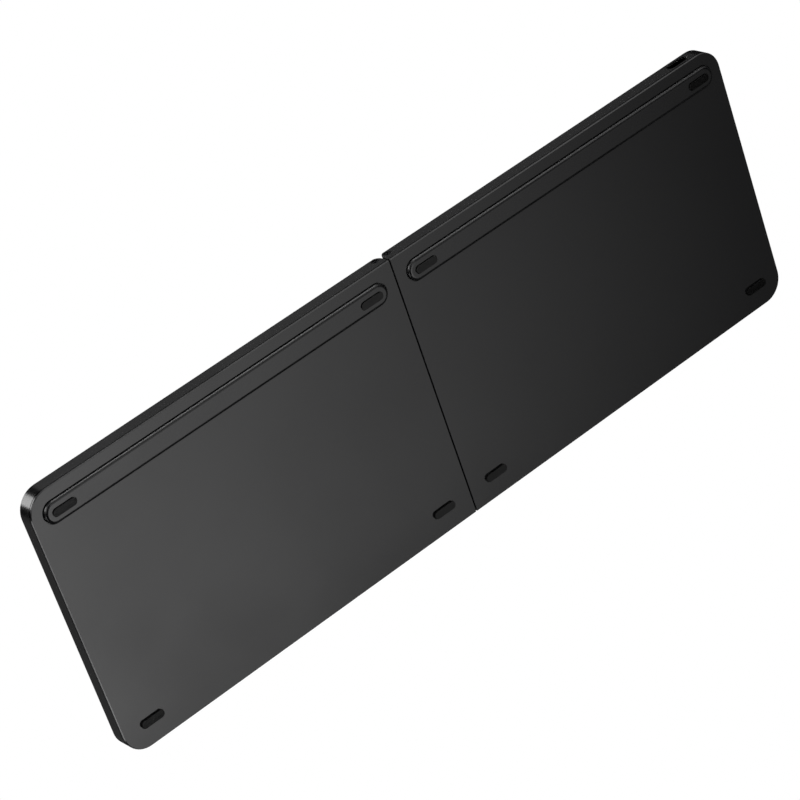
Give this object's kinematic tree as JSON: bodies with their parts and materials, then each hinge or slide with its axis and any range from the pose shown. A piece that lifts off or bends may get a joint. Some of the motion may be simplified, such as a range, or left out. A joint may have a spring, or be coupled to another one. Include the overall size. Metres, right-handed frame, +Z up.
{
  "type": "folding keyboard",
  "caption": "Wireless folding keyboard that opens like a book on a dual-pin spine, with sprung keys on both halves, rear support bars and rubber feet.",
  "frame": {"origin": "centre of the footprint, on the desk plane under the rubber feet", "axes": "+X to the typist's right, along the opened keyboard; +Y to the rear edge with the charging port; +Z up"},
  "size_m": [0.3, 0.1, 0.0085],
  "materials": {
    "cover": "fine matte",
    "frame": "fine matte",
    "deck": "fine matte",
    "bar": "matte",
    "rubber_foot": "matte",
    "plate_steel": "zinc plated",
    "dome_rubber": "satin",
    "scissor_plastic": "satin",
    "screw_steel": "black plated",
    "pin_steel": "ground",
    "washer_steel": "spring steel",
    "spine_metal": "matte paint on steel",
    "flex_film": "satin film",
    "board_laminate": "solder mask",
    "battery_foil": "satin foil",
    "socket_steel": "nickel plated",
    "magnet_nickel": "nickel plated",
    "keycap": "fine matte"
  },
  "bodies": {
    "left_half": {"left_bottom_cover": "cover", "left_frame": "frame", "left_deck": "deck", "left_support_bar": "bar", "left_feet": "rubber_foot", "left_key_plate": "plate_steel", "left_dome_mat": "dome_rubber", "left_scissors": "scissor_plastic", "left_cover_screws": "screw_steel", "left_hinge_pins": "pin_steel", "main_board": "board_laminate", "battery": "battery_foil", "charging_socket": "socket_steel"},
    "hinge": {"hinge_spine": "spine_metal", "hinge_washers": "washer_steel", "flex_cable": "flex_film"},
    "right_half": {"right_bottom_cover": "cover", "right_frame": "frame", "right_deck": "deck", "right_support_bar": "bar", "right_feet": "rubber_foot", "right_key_plate": "plate_steel", "right_dome_mat": "dome_rubber", "right_scissors": "scissor_plastic", "right_cover_screws": "screw_steel", "right_hinge_pins": "pin_steel", "sensor_magnet": "magnet_nickel"},
    "key_q_body": {"key_q": "keycap"},
    "key_w_body": {"key_w": "keycap"},
    "key_e_body": {"key_e": "keycap"},
    "key_r_body": {"key_r": "keycap"},
    "key_t_body": {"key_t": "keycap"},
    "key_a_body": {"key_a": "keycap"},
    "key_s_body": {"key_s": "keycap"},
    "key_d_body": {"key_d": "keycap"},
    "key_f_body": {"key_f": "keycap"},
    "key_g_body": {"key_g": "keycap"},
    "key_z_body": {"key_z": "keycap"},
    "key_x_body": {"key_x": "keycap"},
    "key_c_body": {"key_c": "keycap"},
    "key_v_body": {"key_v": "keycap"},
    "key_b_body": {"key_b": "keycap"},
    "left_space_bar_body": {"left_space_bar": "keycap"},
    "left_number_keys_body": {"left_number_keys": "keycap"},
    "left_modifier_keys_body": {"left_modifier_keys": "keycap"},
    "key_y_body": {"key_y": "keycap"},
    "key_u_body": {"key_u": "keycap"},
    "key_i_body": {"key_i": "keycap"},
    "key_o_body": {"key_o": "keycap"},
    "key_p_body": {"key_p": "keycap"},
    "key_h_body": {"key_h": "keycap"},
    "key_j_body": {"key_j": "keycap"},
    "key_k_body": {"key_k": "keycap"},
    "key_l_body": {"key_l": "keycap"},
    "key_n_body": {"key_n": "keycap"},
    "key_m_body": {"key_m": "keycap"},
    "right_space_bar_body": {"right_space_bar": "keycap"},
    "right_number_keys_body": {"right_number_keys": "keycap"},
    "right_modifier_keys_body": {"right_modifier_keys": "keycap"},
    "punctuation_keys_body": {"punctuation_keys": "keycap"}
  },
  "joints": [
    {"name": "fold_left_pin", "type": "hinge", "parent": "left_half", "child": "hinge", "pos_m": [-0.0027, -0.00001, 0.00565], "axis": [0, -0.9999, -0.0108], "range_deg": [0, 90], "deforming": ["flex_cable"]},
    {"name": "fold_right_pin", "type": "hinge", "parent": "hinge", "child": "right_half", "pos_m": [0.0027, -0.00001, 0.00565], "axis": [0, -0.9999, -0.0108], "range_deg": [0, 90], "deforming": ["flex_cable"]},
    {"name": "key_q_press", "type": "slide", "parent": "left_half", "child": "key_q_body", "axis": [0, 0.0108, -0.9999], "range_m": [0, 0.0013], "stiffness_N_per_m": 200, "springref_m": -0.0015, "deforming": ["left_dome_mat", "left_scissors"]},
    {"name": "key_w_press", "type": "slide", "parent": "left_half", "child": "key_w_body", "axis": [0, 0.0108, -0.9999], "range_m": [0, 0.0013], "stiffness_N_per_m": 200, "springref_m": -0.0015, "deforming": ["left_dome_mat", "left_scissors"]},
    {"name": "key_e_press", "type": "slide", "parent": "left_half", "child": "key_e_body", "axis": [0, 0.0108, -0.9999], "range_m": [0, 0.0013], "stiffness_N_per_m": 200, "springref_m": -0.0015, "deforming": ["left_dome_mat", "left_scissors"]},
    {"name": "key_r_press", "type": "slide", "parent": "left_half", "child": "key_r_body", "axis": [0, 0.0108, -0.9999], "range_m": [0, 0.0013], "stiffness_N_per_m": 200, "springref_m": -0.0015, "deforming": ["left_dome_mat", "left_scissors"]},
    {"name": "key_t_press", "type": "slide", "parent": "left_half", "child": "key_t_body", "axis": [0, 0.0108, -0.9999], "range_m": [0, 0.0013], "stiffness_N_per_m": 200, "springref_m": -0.0015, "deforming": ["left_dome_mat", "left_scissors"]},
    {"name": "key_a_press", "type": "slide", "parent": "left_half", "child": "key_a_body", "axis": [0, 0.0108, -0.9999], "range_m": [0, 0.0013], "stiffness_N_per_m": 200, "springref_m": -0.0015, "deforming": ["left_dome_mat", "left_scissors"]},
    {"name": "key_s_press", "type": "slide", "parent": "left_half", "child": "key_s_body", "axis": [0, 0.0108, -0.9999], "range_m": [0, 0.0013], "stiffness_N_per_m": 200, "springref_m": -0.0015, "deforming": ["left_dome_mat", "left_scissors"]},
    {"name": "key_d_press", "type": "slide", "parent": "left_half", "child": "key_d_body", "axis": [0, 0.0108, -0.9999], "range_m": [0, 0.0013], "stiffness_N_per_m": 200, "springref_m": -0.0015, "deforming": ["left_dome_mat", "left_scissors"]},
    {"name": "key_f_press", "type": "slide", "parent": "left_half", "child": "key_f_body", "axis": [0, 0.0108, -0.9999], "range_m": [0, 0.0013], "stiffness_N_per_m": 200, "springref_m": -0.0015, "deforming": ["left_dome_mat", "left_scissors"]},
    {"name": "key_g_press", "type": "slide", "parent": "left_half", "child": "key_g_body", "axis": [0, 0.0108, -0.9999], "range_m": [0, 0.0013], "stiffness_N_per_m": 200, "springref_m": -0.0015, "deforming": ["left_dome_mat", "left_scissors"]},
    {"name": "key_z_press", "type": "slide", "parent": "left_half", "child": "key_z_body", "axis": [0, 0.0108, -0.9999], "range_m": [0, 0.0013], "stiffness_N_per_m": 200, "springref_m": -0.0015, "deforming": ["left_dome_mat", "left_scissors"]},
    {"name": "key_x_press", "type": "slide", "parent": "left_half", "child": "key_x_body", "axis": [0, 0.0108, -0.9999], "range_m": [0, 0.0013], "stiffness_N_per_m": 200, "springref_m": -0.0015, "deforming": ["left_dome_mat", "left_scissors"]},
    {"name": "key_c_press", "type": "slide", "parent": "left_half", "child": "key_c_body", "axis": [0, 0.0108, -0.9999], "range_m": [0, 0.0013], "stiffness_N_per_m": 200, "springref_m": -0.0015, "deforming": ["left_dome_mat", "left_scissors"]},
    {"name": "key_v_press", "type": "slide", "parent": "left_half", "child": "key_v_body", "axis": [0, 0.0108, -0.9999], "range_m": [0, 0.0013], "stiffness_N_per_m": 200, "springref_m": -0.0015, "deforming": ["left_dome_mat", "left_scissors"]},
    {"name": "key_b_press", "type": "slide", "parent": "left_half", "child": "key_b_body", "axis": [0, 0.0108, -0.9999], "range_m": [0, 0.0013], "stiffness_N_per_m": 200, "springref_m": -0.0015, "deforming": ["left_dome_mat", "left_scissors"]},
    {"name": "key_left_space_bar_press", "type": "slide", "parent": "left_half", "child": "left_space_bar_body", "axis": [0, 0.0108, -0.9999], "range_m": [0, 0.0013], "stiffness_N_per_m": 200, "springref_m": -0.0015, "deforming": ["left_dome_mat", "left_scissors"]},
    {"name": "key_left_number_press", "type": "slide", "parent": "left_half", "child": "left_number_keys_body", "axis": [0, 0.0108, -0.9999], "range_m": [0, 0.0013], "stiffness_N_per_m": 200, "springref_m": -0.0015, "deforming": ["left_dome_mat", "left_scissors"]},
    {"name": "key_left_modifier_press", "type": "slide", "parent": "left_half", "child": "left_modifier_keys_body", "axis": [0, 0.0108, -0.9999], "range_m": [0, 0.0013], "stiffness_N_per_m": 200, "springref_m": -0.0015, "deforming": ["left_dome_mat", "left_scissors"]},
    {"name": "key_y_press", "type": "slide", "parent": "right_half", "child": "key_y_body", "axis": [0, 0.0108, -0.9999], "range_m": [0, 0.0013], "stiffness_N_per_m": 200, "springref_m": -0.0015, "deforming": ["right_dome_mat", "right_scissors"]},
    {"name": "key_u_press", "type": "slide", "parent": "right_half", "child": "key_u_body", "axis": [0, 0.0108, -0.9999], "range_m": [0, 0.0013], "stiffness_N_per_m": 200, "springref_m": -0.0015, "deforming": ["right_dome_mat", "right_scissors"]},
    {"name": "key_i_press", "type": "slide", "parent": "right_half", "child": "key_i_body", "axis": [0, 0.0108, -0.9999], "range_m": [0, 0.0013], "stiffness_N_per_m": 200, "springref_m": -0.0015, "deforming": ["right_dome_mat", "right_scissors"]},
    {"name": "key_o_press", "type": "slide", "parent": "right_half", "child": "key_o_body", "axis": [0, 0.0108, -0.9999], "range_m": [0, 0.0013], "stiffness_N_per_m": 200, "springref_m": -0.0015, "deforming": ["right_dome_mat", "right_scissors"]},
    {"name": "key_p_press", "type": "slide", "parent": "right_half", "child": "key_p_body", "axis": [0, 0.0108, -0.9999], "range_m": [0, 0.0013], "stiffness_N_per_m": 200, "springref_m": -0.0015, "deforming": ["right_dome_mat", "right_scissors"]},
    {"name": "key_h_press", "type": "slide", "parent": "right_half", "child": "key_h_body", "axis": [0, 0.0108, -0.9999], "range_m": [0, 0.0013], "stiffness_N_per_m": 200, "springref_m": -0.0015, "deforming": ["right_dome_mat", "right_scissors"]},
    {"name": "key_j_press", "type": "slide", "parent": "right_half", "child": "key_j_body", "axis": [0, 0.0108, -0.9999], "range_m": [0, 0.0013], "stiffness_N_per_m": 200, "springref_m": -0.0015, "deforming": ["right_dome_mat", "right_scissors"]},
    {"name": "key_k_press", "type": "slide", "parent": "right_half", "child": "key_k_body", "axis": [0, 0.0108, -0.9999], "range_m": [0, 0.0013], "stiffness_N_per_m": 200, "springref_m": -0.0015, "deforming": ["right_dome_mat", "right_scissors"]},
    {"name": "key_l_press", "type": "slide", "parent": "right_half", "child": "key_l_body", "axis": [0, 0.0108, -0.9999], "range_m": [0, 0.0013], "stiffness_N_per_m": 200, "springref_m": -0.0015, "deforming": ["right_dome_mat", "right_scissors"]},
    {"name": "key_n_press", "type": "slide", "parent": "right_half", "child": "key_n_body", "axis": [0, 0.0108, -0.9999], "range_m": [0, 0.0013], "stiffness_N_per_m": 200, "springref_m": -0.0015, "deforming": ["right_dome_mat", "right_scissors"]},
    {"name": "key_m_press", "type": "slide", "parent": "right_half", "child": "key_m_body", "axis": [0, 0.0108, -0.9999], "range_m": [0, 0.0013], "stiffness_N_per_m": 200, "springref_m": -0.0015, "deforming": ["right_dome_mat", "right_scissors"]},
    {"name": "key_right_space_bar_press", "type": "slide", "parent": "right_half", "child": "right_space_bar_body", "axis": [0, 0.0108, -0.9999], "range_m": [0, 0.0013], "stiffness_N_per_m": 200, "springref_m": -0.0015, "deforming": ["right_dome_mat", "right_scissors"]},
    {"name": "key_right_number_press", "type": "slide", "parent": "right_half", "child": "right_number_keys_body", "axis": [0, 0.0108, -0.9999], "range_m": [0, 0.0013], "stiffness_N_per_m": 200, "springref_m": -0.0015, "deforming": ["right_dome_mat", "right_scissors"]},
    {"name": "key_right_modifier_press", "type": "slide", "parent": "right_half", "child": "right_modifier_keys_body", "axis": [0, 0.0108, -0.9999], "range_m": [0, 0.0013], "stiffness_N_per_m": 200, "springref_m": -0.0015, "deforming": ["right_dome_mat", "right_scissors"]},
    {"name": "key_punctuation_press", "type": "slide", "parent": "right_half", "child": "punctuation_keys_body", "axis": [0, 0.0108, -0.9999], "range_m": [0, 0.0013], "stiffness_N_per_m": 200, "springref_m": -0.0015, "deforming": ["right_dome_mat", "right_scissors"]}
  ]
}
